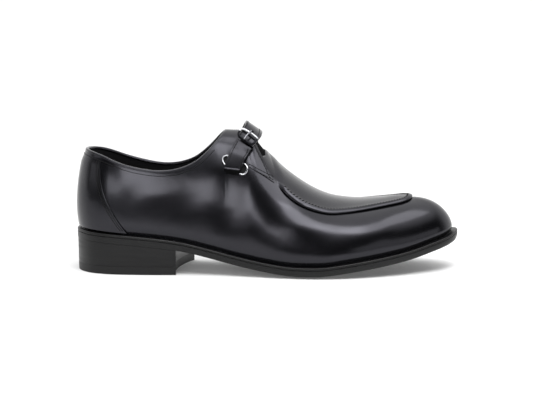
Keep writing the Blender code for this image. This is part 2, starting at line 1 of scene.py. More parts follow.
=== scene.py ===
# Black monk strap shoe with an apron toe, right foot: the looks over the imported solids.
# Sizes in the dictionaries are millimetres, with x from the heel's back and y towards the inner side.
import math

import bmesh
import bpy
from mathutils import Matrix, Vector
from mathutils.bvhtree import BVHTree


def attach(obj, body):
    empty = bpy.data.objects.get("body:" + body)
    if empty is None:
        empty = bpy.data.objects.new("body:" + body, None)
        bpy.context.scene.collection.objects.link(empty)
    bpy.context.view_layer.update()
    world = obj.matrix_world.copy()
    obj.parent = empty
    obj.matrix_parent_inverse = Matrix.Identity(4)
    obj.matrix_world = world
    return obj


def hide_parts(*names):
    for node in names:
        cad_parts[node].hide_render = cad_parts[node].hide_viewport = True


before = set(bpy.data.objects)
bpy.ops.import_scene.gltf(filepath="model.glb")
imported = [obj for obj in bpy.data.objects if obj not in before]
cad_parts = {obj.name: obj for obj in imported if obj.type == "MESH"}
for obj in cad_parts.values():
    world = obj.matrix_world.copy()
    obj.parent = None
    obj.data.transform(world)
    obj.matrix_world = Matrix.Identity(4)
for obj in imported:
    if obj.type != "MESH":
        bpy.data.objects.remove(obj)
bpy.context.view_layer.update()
mm = 0.001
heelBack = Vector((-149.62, 3.486, 0.0))  # the heel's back on the floor, in the part's own frame


def spot(x, y, z):  # a place on the shoe, in the part's metres
    return (Vector((x, y, z)) + heelBack) * mm


def shoePlace(point):  # the way back, to millimetres from the heel's back
    return point / mm - heelBack


def smooth(t):  # 0 to 1 with soft ends
    t = min(1.0, max(0.0, t))
    return t * t * (3 - 2 * t)


# Materials

def hexColour(text):
    parts = [int(text[k:k + 2], 16) / 255 for k in (1, 3, 5)]
    return tuple(p / 12.92 if p <= 0.04045 else ((p + 0.055) / 1.055) ** 2.4 for p in parts) + (1.0,)


def addNode(tree, kind, inputs=None, **settings):
    node = tree.nodes.new(kind)
    for name, value in settings.items():
        setattr(node, name, value)
    for name, value in (inputs or {}).items():
        if isinstance(value, bpy.types.NodeSocket):
            tree.links.new(value, node.inputs[name])
        else:
            node.inputs[name].default_value = value
    return node


def newMaterial(name, **values):
    made = bpy.data.materials.new(name)
    made.use_nodes = True
    shader = made.node_tree.nodes["Principled BSDF"]
    for socket, value in values.items():
        shader.inputs[socket.replace("_", " ")].default_value = value
    return made, made.node_tree, shader


def wire(tree, shader, **outputs):
    for socket, output in outputs.items():
        tree.links.new(output, shader.inputs[socket.replace("_", " ")])


def perMetre(sizeInMm):  # texture scale that gives a pattern of this size
    return 1.0 / (sizeInMm * mm)


def onPiece(tree):
    return addNode(tree, "ShaderNodeTexCoord").outputs["Object"]


def noiseOf(tree, where, size, detail):
    inputs = {"Vector": where, "Scale": perMetre(size), "Detail": detail}
    return addNode(tree, "ShaderNodeTexNoise", inputs).outputs["Fac"]


def cellsOf(tree, where, size):
    inputs = {"Vector": where, "Scale": perMetre(size)}
    return addNode(tree, "ShaderNodeTexVoronoi", inputs).outputs["Distance"]


def mapTo(tree, value, start, end, low, high, **settings):  # start to end becomes low to high
    inputs = {"Value": value, "From Min": start, "From Max": end, "To Min": low, "To Max": high}
    return addNode(tree, "ShaderNodeMapRange", inputs, **settings).outputs["Result"]


def bumpOf(tree, height, strength, depth, under=None):
    inputs = {"Height": height, "Strength": strength, "Distance": depth * mm}
    if under is not None:
        inputs["Normal"] = under
    return addNode(tree, "ShaderNodeBump", inputs).outputs["Normal"]


def polishedCalf():
    # Calf, drum dyed black and polished with wax: clear soft reflections that cloud where the wax is thin.
    black, bloom = hexColour("#050506"), hexColour("#0b0b0d")
    made, tree, shader = newMaterial("polishedBlackCalf", Coat_Weight=0.08, Coat_Roughness=0.14,
                                     Specular_IOR_Level=0.36, Specular_Tint=hexColour("#f1f0ff"))
    where = onPiece(tree)
    cloud = noiseOf(tree, where, size=34.0, detail=4.0)
    tone = addNode(tree, "ShaderNodeMix", {"Factor": cloud, 6: black, 7: bloom}, data_type="RGBA")
    rough = mapTo(tree, cloud, start=0.3, end=0.7, low=0.17, high=0.25)
    # Pores drawn about twice their real width, which is too fine for the picture.
    grain = bumpOf(tree, cellsOf(tree, where, size=1.1), strength=0.03, depth=0.2)
    pull = noiseOf(tree, where, size=22.0, detail=2.0)
    pulled = bumpOf(tree, pull, strength=0.16, depth=1.2, under=grain)
    wire(tree, shader, Base_Color=tone.outputs[2], Roughness=rough, Normal=pulled)
    return made


def liningLeather():
    # Unglazed goat lining, dyed black: flat and dry, with a pebbled grain.
    made, tree, shader = newMaterial("dyedGoatLining", Base_Color=hexColour("#0e0e10"), Roughness=0.66,
                                     Specular_IOR_Level=0.25)
    pebble = cellsOf(tree, onPiece(tree), size=1.6)
    wire(tree, shader, Normal=bumpOf(tree, pebble, strength=0.3, depth=0.3))
    return made


def paintedShadeBlack():
    # Painted shade: a near-black matt colour for the tongue in the throat and for the tab's tucked end,
    # where the shade is deep.
    return newMaterial("paintedShadeMatt", Base_Color=hexColour("#060607"), Roughness=0.9,
                       Specular_IOR_Level=0.06)[0]


def waxedEdge(name, layer):
    # Cut leather edge, sanded, inked black and ironed with wax: satin, with faint lines between layers.
    made, tree, shader = newMaterial(name, Base_Color=hexColour("#070708"), Specular_IOR_Level=0.3)
    where = onPiece(tree)
    flat = addNode(tree, "ShaderNodeMapping", {"Vector": where, "Scale": (0.06, 0.06, 1.0)})
    fibre = noiseOf(tree, flat.outputs["Vector"], size=2.2, detail=3.0)
    surface = bumpOf(tree, fibre, strength=0.04, depth=0.3)
    if layer:
        # The wave repeats every pi / 10, so this scale gives one line a layer.
        inputs = {"Vector": where, "Scale": perMetre(layer) * math.pi / 10}
        bands = addNode(tree, "ShaderNodeTexWave", inputs, bands_direction="Z")
        line = mapTo(tree, bands.outputs["Fac"], start=0.0, end=0.06, low=0.0, high=1.0)
        surface = bumpOf(tree, line, strength=0.12, depth=0.2, under=surface)
    rough = mapTo(tree, fibre, start=0.3, end=0.7, low=0.3, high=0.46)
    wire(tree, shader, Roughness=rough, Normal=surface)
    return made


def heelRubber():
    # Moulded rubber lift, ground flush with the heel: dull, with a fine sanded tooth.
    made, tree, shader = newMaterial("mouldedHeelRubber", Base_Color=hexColour("#0a0a0b"), Roughness=0.5,
                                     Specular_IOR_Level=0.35)
    tooth = noiseOf(tree, onPiece(tree), size=0.9, detail=2.0)
    wire(tree, shader, Normal=bumpOf(tree, tooth, strength=0.15, depth=0.2))
    return made


def polishedSteel():
    # Nickel-plated steel wire, buffed: mirror bright with fine hairlines.
    made, tree, shader = newMaterial("buffedNickelSteel", Base_Color=hexColour("#c4c5c9"), Metallic=1.0)
    hair = noiseOf(tree, onPiece(tree), size=0.8, detail=3.0)
    wire(tree, shader, Roughness=mapTo(tree, hair, start=0.0, end=1.0, low=0.1, high=0.26))
    return made


def paintedShadeSteel():
    # Painted shade on the buckle's bow: the same metal coloured near black, with a thin glint along it.
    return newMaterial("paintedShadeSteel", Base_Color=hexColour("#1c1c1f"), Metallic=1.0, Roughness=0.3)[0]


def greySteel():
    # The pin, tumbled but not buffed: a soft grey close to the polished strap.
    return newMaterial("tumbledSteel", Base_Color=hexColour("#7b7b80"), Metallic=1.0, Roughness=0.38)[0]


def waxedThread():
    # Twisted polyester thread, waxed and pulled into the leather: dull and dark beside the polish.
    made, tree, shader = newMaterial("waxedBlackThread", Base_Color=hexColour("#09090a"), Roughness=0.7,
                                     Specular_IOR_Level=0.2)
    inputs = {"Vector": onPiece(tree), "Scale": perMetre(2.0), "Distortion": 1.0}
    twist = addNode(tree, "ShaderNodeTexWave", inputs).outputs["Fac"]
    wire(tree, shader, Normal=bumpOf(tree, twist, strength=0.3, depth=0.2))
    return made


calf = polishedCalf()
lining = liningLeather()
shadeMatt = paintedShadeBlack()
edgeWax = waxedEdge("inkedLeatherEdge", None)
heelWax = waxedEdge("inkedStackedHeel", 3.6)
rubber = heelRubber()
steel = polishedSteel()
shadeSteel = paintedShadeSteel()
pinSteel = greySteel()
thread = waxedThread()
print("materials made")


# Work on one piece

mergeLook = {"gap": 0.03, "bend": 60, "skew": 70}  # points this near are one; degrees for quads


def takeUp(piece):  # the only selected object, and the active one
    bpy.ops.object.select_all(action="DESELECT")
    piece.select_set(True)
    bpy.context.view_layer.objects.active = piece


def addPiece(name, data):
    piece = bpy.data.objects.new(name, data)
    bpy.context.scene.collection.objects.link(piece)
    return piece


def fromMesh(name, mesh):  # a new piece from a bmesh, which is used up
    data = bpy.data.meshes.new(name)
    mesh.to_mesh(data)
    mesh.free()
    return addPiece(name, data)


def copyNode(node, name):
    piece = addPiece(name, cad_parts[node].data.copy())
    takeUp(piece)
    bpy.ops.mesh.customdata_custom_splitnormals_clear()
    bpy.ops.object.mode_set(mode="EDIT")
    bpy.ops.mesh.select_all(action="SELECT")
    bpy.ops.mesh.remove_doubles(threshold=mergeLook["gap"] * mm)
    bpy.ops.mesh.tris_convert_to_quads(face_threshold=math.radians(mergeLook["bend"]),
                                       shape_threshold=math.radians(mergeLook["skew"]))
    bpy.ops.object.mode_set(mode="OBJECT")
    return piece


def shape(piece, kind, **settings):
    made = piece.modifiers.new(kind.lower(), kind)
    for name, value in settings.items():
        setattr(made, name, value)
    takeUp(piece)
    bpy.ops.object.modifier_apply(modifier=made.name)


def rounded(piece, width, levels, angle=40):
    shape(piece, "BEVEL", width=width * mm, segments=2, limit_method="ANGLE",
          angle_limit=math.radians(angle), use_clamp_overlap=True)
    shape(piece, "SUBSURF", levels=levels, render_levels=levels)


def finishPiece(piece, material, slot, *nodes):
    piece.data.materials.clear()
    piece.data.materials.append(material)
    takeUp(piece)
    bpy.ops.object.shade_smooth()
    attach(piece, "root")
    if nodes:
        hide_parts(*nodes)
    print(piece.name, len(piece.data.polygons), "faces")
    return piece


# Upper: side walls and vamp

upperLook = {
    "edge": 0.7,
    "sharp": 55,  # degrees from which an edge is rounded
    # soft troughs and ridges: side, from x, z to x, z, depth (a trough is positive) and half width
    "folds": (
        (-1, 60, 62, 92, 70, -0.3, 9.0),
        (-1, 100, 50, 110, 78, -0.35, 10.0),
        (-1, 120, 46, 126, 74, 0.35, 9.0),
        (-1, 40, 52, 52, 70, 0.25, 9.0),
        (1, 100, 50, 110, 78, -0.35, 10.0),
        (1, 122, 46, 128, 74, 0.35, 9.0),
        (1, 60, 58, 90, 66, -0.3, 10.0),
        # the vamp's wall stands up and turns over below the apron
        (-1, 176, 40, 236, 38, -1.3, 9.0),
        (1, 176, 40, 236, 38, -1.3, 9.0),
    ),
    "foldMiddle": 2.0,  # y between the two sides
    "foldEnd": 1.3,  # how far a fold runs out past its ends, in half widths
    # throat between the flaps and the apron, seen from above: the tongue shows there; it is let in and
    # coloured with painted shade
    "throat": {"back": 134.0, "backHalf": 8.0, "wide": 146.4, "wideHalf": 19.8, "front": 148.6, "low": 91.0,
               "middle": 3.6, "fade": 3.0, "recess": 2.2, "way": (-0.5, 0.0, -0.85)},
    "fine": {"from": 131.0, "to": 153.0, "half": 24.0, "above": 86.0, "cutAbove": 85.0},
    "ease": {"x": 117.0, "half": 9.0, "foot": 30.0, "top": 94.0, "fade": 6.0, "turns": 30, "factor": 0.5},
    "pinch": {"column": 5.0, "height": 6.5, "depth": 1.6, "heel": 34.0, "toe": 255.0, "middle": 1.0,
              "facing": 0.2},
    # x and height of a line through the room inside, its ends, and where it shifts towards the inner side
    "inside": ((0, 62), (60, 55), (120, 45), (170, 28), (230, 28), (300, 32)),
    "insideEnds": (34.0, 262.0),
    "insideShift": {"x": 120.0, "y": 3.0},
}


def throatSide(place):  # how far a place lies inside the side of the throat
    throat = upperLook["throat"]
    share = (place.x - throat["back"]) / (throat["wide"] - throat["back"])
    half = throat["backHalf"] + (throat["wideHalf"] - throat["backHalf"]) * share
    return half - abs(place.y - throat["middle"])


def inThroat(place):  # 1 in the throat, falling to 0 at its edge
    throat = upperLook["throat"]
    if place.x < throat["back"]:
        return 0.0
    share = 1.0
    for inside in (place.z - throat["low"], throatSide(place), throat["front"] - place.x):
        share *= smooth(inside / throat["fade"] + 0.5)
    return share


def isThroat(place):
    throat = upperLook["throat"]
    return throat["back"] < place.x < throat["front"] and place.z > throat["low"] and throatSide(place) > 0


def foldMove(place, folds):
    move = 0.0
    side = -1 if place.y < upperLook["foldMiddle"] else 1
    for where, x0, z0, x1, z1, depth, half in folds:
        if where != side:
            continue
        run = Vector((x1 - x0, z1 - z0))
        here = Vector((place.x - x0, place.z - z0))
        t = here.dot(run) / run.length_squared
        away = abs(here.x * run.y - here.y * run.x) / run.length
        past = max(0.0, -t, t - 1.0) * run.length
        move += depth * math.exp(-(away / half) ** 2 - (past / (half * upperLook["foldEnd"])) ** 2)
    return Vector((0.0, -side * move, 0.0))


def insideFace(face):  # true on the lining side of the upper
    centre = shoePlace(face.center)
    line = upperLook["inside"]
    for (x0, z0), (x1, z1) in zip(line, line[1:]):
        if centre.x <= x1:
            break
    height = z0 + (z1 - z0) * (centre.x - x0) / (x1 - x0)
    heel, toe = upperLook["insideEnds"]
    shift = upperLook["insideShift"]
    axis = Vector((min(max(centre.x, heel), toe), 0.0 if centre.x < shift["x"] else shift["y"], height))
    return face.normal.dot(axis - centre) > 0


def pinchFoot(piece):  # the wall is drawn in where it meets the welt
    pinch = upperLook["pinch"]
    lowest = {}
    for vertex in piece.data.vertices:
        place = shoePlace(vertex.co)
        column = int(place.x / pinch["column"])
        lowest[column] = min(lowest.get(column, place.z), place.z)
    for vertex in piece.data.vertices:
        place = shoePlace(vertex.co)
        column = place.x / pinch["column"] - 0.5
        left, right = int(column), int(column) + 1
        leftFoot = lowest.get(left, lowest.get(right))
        rightFoot = lowest.get(right, lowest.get(left))
        foot = leftFoot * (right - column) + rightFoot * (column - left)
        share = 1.0 - (place.z - foot) / pinch["height"]
        middle = Vector((min(max(place.x, pinch["heel"]), pinch["toe"]), pinch["middle"], place.z))
        outward = place - middle
        outward.z = 0.0
        outward.normalize()
        if share > 0 and vertex.normal.dot(outward) > pinch["facing"]:
            vertex.co -= outward * min(1.0, share) ** 2 * pinch["depth"] * mm


def easeWaist(piece):  # the wall runs on smoothly below the front of the collar
    ease = upperLook["ease"]
    group = piece.vertex_groups.new(name="ease")
    for vertex in piece.data.vertices:
        place = shoePlace(vertex.co)
        share = smooth(2.0 - abs(place.x - ease["x"]) / ease["half"])
        share *= smooth((ease["top"] - place.z) / ease["fade"])
        share *= smooth((place.z - ease["foot"]) / ease["fade"])
        if share > 0:
            group.add([vertex.index], share, "REPLACE")
    shape(piece, "SMOOTH", factor=ease["factor"], iterations=ease["turns"], vertex_group="ease")


def refineThroat(piece):  # smaller faces where the throat is let in, cut along its front and foot
    fine = upperLook["fine"]
    throat = upperLook["throat"]
    mesh = bmesh.new()
    mesh.from_mesh(piece.data)
    inside = set()
    for vertex in mesh.verts:
        place = shoePlace(vertex.co)
        beside = abs(place.y - throat["middle"]) < fine["half"]
        if fine["from"] < place.x < fine["to"] and beside and place.z > fine["above"]:
            inside.add(vertex)
    edges = [edge for edge in mesh.edges if edge.verts[0] in inside and edge.verts[1] in inside]
    bmesh.ops.subdivide_edges(mesh, edges=edges, cuts=1, use_grid_fill=True)
    corner = spot(throat["front"], 0.0, throat["low"])
    for normal in ((1, 0, 0), (0, 0, 1)):
        parts = {}  # in the mesh's own order, so that each run gives the same
        for face in mesh.faces:
            centre = shoePlace(face.calc_center_median())
            if fine["from"] < centre.x < fine["to"] and centre.z > fine["cutAbove"]:
                parts.update(dict.fromkeys([face, *face.verts, *face.edges]))
        bmesh.ops.bisect_plane(mesh, geom=list(parts), plane_co=corner, plane_no=normal)
    mesh.to_mesh(piece.data)
    mesh.free()


def makeUpper():
    piece = copyNode("upper", "upperLeather")
    rounded(piece, upperLook["edge"], 2, angle=upperLook["sharp"])
    pinchFoot(piece)
    easeWaist(piece)
    refineThroat(piece)
    throat = upperLook["throat"]
    # the throat's faces take the near-black painted shade colour
    throatShadeFaces = [isThroat(shoePlace(face.center)) for face in piece.data.polygons]
    for vertex in piece.data.vertices:
        place = shoePlace(vertex.co)
        vertex.co += foldMove(place, upperLook["folds"]) * mm
        vertex.co += Vector(throat["way"]) * inThroat(place) * throat["recess"] * mm
    finishPiece(piece, calf, "polished_calf", "upper")
    piece.data.materials.append(lining)
    piece.data.materials.append(shadeMatt)
    for face in piece.data.polygons:
        if insideFace(face):
            face.material_index = 1
        elif throatShadeFaces[face.index]:
            face.material_index = 2
    return piece


upper = makeUpper()


# Overlays: cut leather, with the edge skived and rounded

overlayLook = {  # name and rounding of the edge
    "heel_counter": ("heelCounter", 0.35),
    "apron": ("apronPlug", 0.35),
    "facing_lateral": ("facingOuter", 0.3),
    "facing_medial": ("facingInner", 0.3),
    "strap": ("instepStrap", 0.45),
    "buckle_tab": ("buckleTab", 0.45),
}
skive = {  # where each edge is, the share that is thinned all over, and the length of the run-out
    "facing": {"x": 137.4, "z": 81.3, "lean": 0.365, "share": 0.6, "long": 9.0},
    "counter": {"top": 95.0, "drop": 3.0, "dropBy": 20.0, "share": 0.2, "long": 10.0},
    "apron": {"x": 150.8, "splay": 6.4, "middle": 3.6, "half": 26.0, "long": 5.5},
    "sunk": 0.12,
}
tabLook = {"tuck": 1.6, "from": 85.0, "long": 8.0, "shadeBelow": 84.0, "shadeFacing": 0.05}


def surfaceOf(*pieces):
    points, faces = [], []
    for piece in pieces:
        start = len(points)
        points += [v.co.copy() for v in piece.data.vertices]
        faces += [[start + k for k in face.vertices] for face in piece.data.polygons]
    return BVHTree.FromPolygons(points, faces)


def sinkInto(piece, surface, weight, depth):  # lets part of a piece run out under the surface it lies on
    for vertex in piece.data.vertices:
        share = weight(shoePlace(vertex.co))
        if share > 0:
            near, normal, _, _ = surface.find_nearest(vertex.co)
            vertex.co = vertex.co.lerp(near - normal * depth * mm, share)


def facingBack(place):  # the flap is skived thin, and its back edge is one with the quarter
    look = skive["facing"]
    back = look["x"] - look["lean"] * (place.z - look["z"])
    return look["share"] + (1.0 - look["share"]) * smooth(1.0 - (place.x - back) / look["long"])


def counterTop(place):  # the counter is skived a little, and runs out under the collar binding
    look = skive["counter"]
    top = look["top"] - look["drop"] * smooth(place.x / look["dropBy"])
    return look["share"] + (1.0 - look["share"]) * smooth((place.z - top + look["long"]) / look["long"])


def apronBack(place):  # the apron's back edge goes in under the flaps
    look = skive["apron"]
    back = look["x"] + look["splay"] * abs(place.y - look["middle"]) / look["half"]
    return smooth(1.0 - (place.x - back) / look["long"])


runOut = {
    "facing_lateral": facingBack,
    "facing_medial": facingBack,
    "heel_counter": counterTop,
    "apron": apronBack,
}


def makeOverlays():
    made = {}
    surface = surfaceOf(upper)
    for node, (name, edge) in overlayLook.items():
        piece = copyNode(node, name)
        rounded(piece, edge, 2)
        if node in runOut:
            sinkInto(piece, surface, runOut[node], skive["sunk"])
        made[node] = finishPiece(piece, calf, "polished_calf", node)
    return made


def tuckTab(tab):  # the end goes down into the slot; its lower faces get painted shade
    tab.data.materials.append(shadeMatt)
    for vertex in tab.data.vertices:
        place = shoePlace(vertex.co)
        vertex.co.y += tabLook["tuck"] * smooth((tabLook["from"] - place.z) / tabLook["long"]) ** 2 * mm
    # painted shade: the end's faces that look down are coloured near black
    for face in tab.data.polygons:
        if shoePlace(face.center).z < tabLook["shadeBelow"] and face.normal.z < tabLook["shadeFacing"]:
            face.material_index = 1


overlays = makeOverlays()
tuckTab(overlays["buckle_tab"])


# Inside

insideLook = {"insole": ("insoleSock", 0.4), "tongue": ("tongueLeather", 0.4)}  # name and rounding


def makeInside():
    for node, (name, edge) in insideLook.items():
        piece = copyNode(node, name)
        rounded(piece, edge, 1)
        finishPiece(piece, lining, "lining_leather", node)


makeInside()


# Sole and heel

soleLook = {  # name, rounding, how far the top is raised to close the seam above, material and slot
    "outsole": ("leatherOutsole", 0.2, 0.3, edgeWax, "waxed_sole_edge"),
    "welt": ("weltStrip", 0.25, 0.35, edgeWax, "waxed_sole_edge"),
    "heel_stack": ("heelStack", 0.15, 0.3, heelWax, "waxed_sole_edge"),
    "top_lift": ("topLift", 0.3, 0.3, rubber, "heel_rubber"),
}
topFacing = 0.7  # faces that look up more than this belong to the top


def raiseTop(piece, height):
    tops = set()
    for face in piece.data.polygons:
        if face.normal.z > topFacing:
            tops.update(face.vertices)
    for index in tops:
        piece.data.vertices[index].co.z += height * mm


def makeSole():
    for node, (name, edge, raised, material, slot) in soleLook.items():
        piece = copyNode(node, name)
        raiseTop(piece, raised)
        rounded(piece, edge, 2)
        finishPiece(piece, material, slot, node)


makeSole()


# Buckle and slot ring

metalLook = {
    "buckle_frame": ("buckleFrame", steel),
    "buckle_prong": ("bucklePin", pinSteel),
    "slot_ring": ("slotRing", steel),
}
barLook = {"way": (4.4, 5.0, 5.1), "from": 1.6}  # from the bow to the bar, up the strap


def makeMetal():
    made = {}
    for node, (name, material) in metalLook.items():
        piece = copyNode(node, name)
        shape(piece, "SUBSURF", levels=2, render_levels=2)
        made[node] = finishPiece(piece, material, "polished_steel", node)
    return made


def paintShadeOnBow(buckle):  # the bow is coloured as painted shade; only the straight bar is bright
    buckle.data.materials.append(shadeSteel)
    points = [shoePlace(v.co) for v in buckle.data.vertices]
    middle = sum(points, Vector()) / len(points)
    barWay = Vector(barLook["way"]).normalized()
    for face in buckle.data.polygons:
        if (shoePlace(face.center) - middle).dot(barWay) < barLook["from"]:
            face.material_index = 1


metal = makeMetal()
paintShadeOnBow(metal["buckle_frame"])


# Strap hole that the prong would go through

holeLook = {"x": 138.5, "y": -9.3, "radius": 0.95, "long": 8.0, "castFrom": 200.0}


def punchStrap():
    strap = overlays["strap"]
    above = spot(holeLook["x"], holeLook["y"], holeLook["castFrom"])
    top, normal, _, _ = surfaceOf(strap).ray_cast(above, Vector((0, 0, -1)))
    bpy.ops.object.select_all(action="DESELECT")
    bpy.ops.mesh.primitive_cylinder_add(vertices=32, radius=holeLook["radius"] * mm,
                                        depth=holeLook["long"] * mm, location=top,
                                        rotation=normal.to_track_quat("Z", "Y").to_euler())
    punch = bpy.context.active_object
    shape(strap, "BOOLEAN", operation="DIFFERENCE", solver="EXACT", object=punch)
    bpy.data.objects.remove(punch)
    takeUp(strap)
    bpy.ops.object.shade_smooth_by_angle(angle=math.radians(40))


punchStrap()


# Mouth of the slot inside its ring: a dark lining sheet on the surface, painted shade for the depth of the
# hole

slotShadeLook = {"spokes": 40, "shares": (0.0, 0.4, 0.75, 1.0), "lift": 0.12, "nearest": 16, "gap": 0.01}


def makeSlotShade(ring):
    surface = surfaceOf(upper)
    points = [v.co.copy() for v in ring.data.vertices]
    centre = sum(points, Vector()) / len(points)
    _, out, _, _ = surface.find_nearest(centre)
    side = Vector((1, 0, 0)) - out * out.x
    side.normalize()
    up = out.cross(side)
    offs = []  # angle and distance of the ring's points round its centre
    for point in points:
        beside, above = (point - centre).dot(side), (point - centre).dot(up)
        offs.append((math.atan2(above, beside), math.hypot(above, beside)))
    mesh = bmesh.new()
    rows = []
    for k in range(slotShadeLook["spokes"]):
        turn = -math.pi + 2 * math.pi * k / slotShadeLook["spokes"]
        near = sorted(offs, key=lambda off: -math.cos(off[0] - turn))[:slotShadeLook["nearest"]]
        reach = min(far for angle, far in near)
        row = []
        for share in slotShadeLook["shares"]:
            place = centre + (side * math.cos(turn) + up * math.sin(turn)) * reach * share
            hit, normal, _, _ = surface.find_nearest(place)
            row.append(mesh.verts.new(hit + normal * slotShadeLook["lift"] * mm))
        rows.append(row)
    for a, b in zip(rows, rows[1:] + rows[:1]):
        for k in range(len(a) - 1):
            mesh.faces.new((a[k], a[k + 1], b[k + 1], b[k]))
    bmesh.ops.remove_doubles(mesh, verts=mesh.verts, dist=slotShadeLook["gap"] * mm)
    finishPiece(fromMesh("slotShadeSheet", mesh), lining, "lining_leather")


makeSlotShade(metal["slot_ring"])


# Tubes, for the binding and for the dark lines under the stitches, which are painted shade for the pressed
# grooves

def tubeOf(name, points, radius, cyclic):
    curve = bpy.data.curves.new(name, "CURVE")
    curve.dimensions = "3D"
    curve.bevel_depth = radius * mm
    curve.bevel_resolution = 3
    curve.resolution_u = 6
    spline = curve.splines.new("NURBS")
    spline.points.add(len(points) - 1)
    for knot, place in zip(spline.points, points):
        knot.co = (*place, 1.0)
    spline.use_cyclic_u = cyclic
    spline.use_endpoint_u = not cyclic
    spline.order_u = 4
    takeUp(addPiece(name, curve))
    bpy.ops.object.convert(target="MESH")
    return bpy.context.active_object


# Collar binding: a rolled strip over the top edge

collarLook = {"radius": 1.4, "sink": 0.5, "sharp": 50.0, "above": 74.0}


def collarPath():  # the two sharp edges round the opening, as lines, the inner one first
    mesh = bmesh.new()
    source = copyNode("upper", "collarGuide")
    mesh.from_mesh(source.data)
    left = {}  # in the mesh's own order, so that each run gives the same
    for edge in mesh.edges:
        high = min(v.co.z for v in edge.verts) > collarLook["above"] * mm
        if high and len(edge.link_faces) == 2 and edge.calc_face_angle() > math.radians(collarLook["sharp"]):
            left[edge] = True
    loops = []
    while left:
        edge, _ = left.popitem()
        chain = [edge.verts[0], edge.verts[1]]
        grown = True
        while grown:
            grown = False
            for following in chain[-1].link_edges:
                if following in left:
                    del left[following]
                    chain.append(following.other_vert(chain[-1]))
                    grown = True
                    break
        loops.append([v.co.copy() for v in chain])
    mesh.free()
    bpy.data.objects.remove(source)
    loops.sort(key=len, reverse=True)
    print("collar loops", [len(loop) for loop in loops])
    return sorted(loops[:2], key=lambda loop: max(p.y for p in loop) - min(p.y for p in loop))


def makeBinding():
    inner, outer = collarPath()
    if inner[0] == inner[-1]:
        inner = inner[:-1]
    path = []
    for place in inner:
        partner = min(outer, key=lambda p: (p - place).length)
        path.append((place + partner) / 2 - Vector((0, 0, collarLook["sink"] * mm)))
    finishPiece(tubeOf("collarBinding", path, collarLook["radius"], True), calf, "polished_calf")
    return inner


collarEdge = makeBinding()


# Stitches, laid on what they sew

stitchLook = {"flat": 0.85, "dip": 1.1}  # height and dip of the ends, in radii
castReach = 0.1  # metres outside a place from which a line is cast on to the shoe
sliceHalf = 0.9  # half the slice in which an edge is looked for
axisX, axisY, axisZ = 0, 1, 2
seamLook = {  # the second last entry is the radius of a dark tube under the stitches, painted shade for the pressed groove, and sunk its depth
    "fine": {"long": 1.9, "radius": 0.34, "pitch": 2.4, "slant": 0.0, "proud": 0.25,
             "grooveShade": 0.28, "sunk": 0.1},
    "collar": {"long": 1.9, "radius": 0.28, "pitch": 2.4, "slant": 0.0, "proud": 0.25,
               "grooveShade": 0.24, "sunk": 0.08},
    "apron": {"long": 2.9, "radius": 0.44, "pitch": 2.4, "slant": 50.0, "proud": 0.3,
              "grooveShade": 0.0, "sunk": 0.0},
}


def oneStitch(long, radius):  # a grain of thread whose ends dip into their holes
    bpy.ops.object.select_all(action="DESELECT")
    bpy.ops.mesh.primitive_uv_sphere_add(segments=8, ring_count=7, radius=1.0)
    seed = bpy.context.active_object
    half = long / 2 * mm
    bpy.ops.object.mode_set(mode="EDIT")
    bpy.ops.mesh.select_all(action="SELECT")
    bpy.ops.transform.rotate(value=math.pi / 2, orient_axis="Y", center_override=(0, 0, 0))
    bpy.ops.transform.resize(value=(half, radius * mm, radius * stitchLook["flat"] * mm))
    bpy.ops.object.mode_set(mode="OBJECT")
    for vertex in seed.data.vertices:
        vertex.co.z -= radius * mm * stitchLook["dip"] * (vertex.co.x / half) ** 4
    return seed


def evenly(points, step):  # places a fixed step apart along a line of points
    walked = [0.0]
    for a, b in zip(points, points[1:]):
        walked.append(walked[-1] + (b - a).length)
    count = max(2, int(round(walked[-1] / step)) + 1)
    placed = []
    for k in range(count):
        want = walked[-1] * k / (count - 1)
        i = max(0, min(len(points) - 2, sum(1 for w in walked if w <= want) - 1))
        part = (want - walked[i]) / max(1e-9, walked[i + 1] - walked[i])
        placed.append(points[i].lerp(points[i + 1], part))
    return placed


def castOn(surface, place, way):  # where a line through a place meets the shoe from outside
    hit, normal, _, _ = surface.ray_cast(place - way * castReach, way, 2 * castReach)
    if hit is None:
        return None
    return hit, normal if normal.dot(way) < 0 else -normal


def sew(name, surface, route, way, look):  # route in metres, way from outside on to the shoe
    seed = oneStitch(look["long"], look["radius"])
    sewn = bmesh.new()
    line = []
    turn = math.radians(look["slant"])
    places = evenly(route, look["pitch"] * mm)
    for a, b in zip(places, places[1:]):
        middle = (a + b) / 2
        found = castOn(surface, middle, way(middle))
        if found is None:
            continue
        hit, normal = found
        along = (b - a).normalized()
        along = (along - normal * along.dot(normal)).normalized()
        across = normal.cross(along)
        along, across = (along * math.cos(turn) + across * math.sin(turn),
                         across * math.cos(turn) - along * math.sin(turn))
        seat = hit + normal * look["radius"] * mm * look["proud"]
        copy = seed.data.copy()
        copy.transform(Matrix((along, across, normal)).transposed().to_4x4())
        copy.transform(Matrix.Translation(seat))
        sewn.from_mesh(copy)
        bpy.data.meshes.remove(copy)
        line.append(hit - normal * look["sunk"] * mm)
    # painted shade: a thread-dark tube along the sunk line of the stitches
    if look["grooveShade"]:
        grooveShade = tubeOf("grooveShade", line, look["grooveShade"], False)
        sewn.from_mesh(grooveShade.data)
        bpy.data.objects.remove(grooveShade)
    bpy.data.objects.remove(seed)
    return finishPiece(fromMesh(name, sewn), thread, "polished_calf")


def edgeOf(piece, levels, level, value, pick, keep=lambda p: True):
    # at each level on one axis, the edge's place on another
    points = [shoePlace(v.co) for v in piece.data.vertices]
    points = [p for p in points if keep(p)]
    edge = []
    for at in levels:
        near = [p[value] for p in points if abs(p[level] - at) < sliceHalf]
        if near:
            edge.append((at, pick(near)))
    return edge


def fromOuterSide(place):
    return Vector((0, 1, 0))


def fromInnerSide(place):
    return Vector((0, -1, 0))


def downwards(place):
    return Vector((0, 0, -1))


sides = {"Outer": (-1, fromOuterSide), "Inner": (1, fromInnerSide)}


# Seams of the counter, the facings, the tab and the strap: insets are from the edge of each

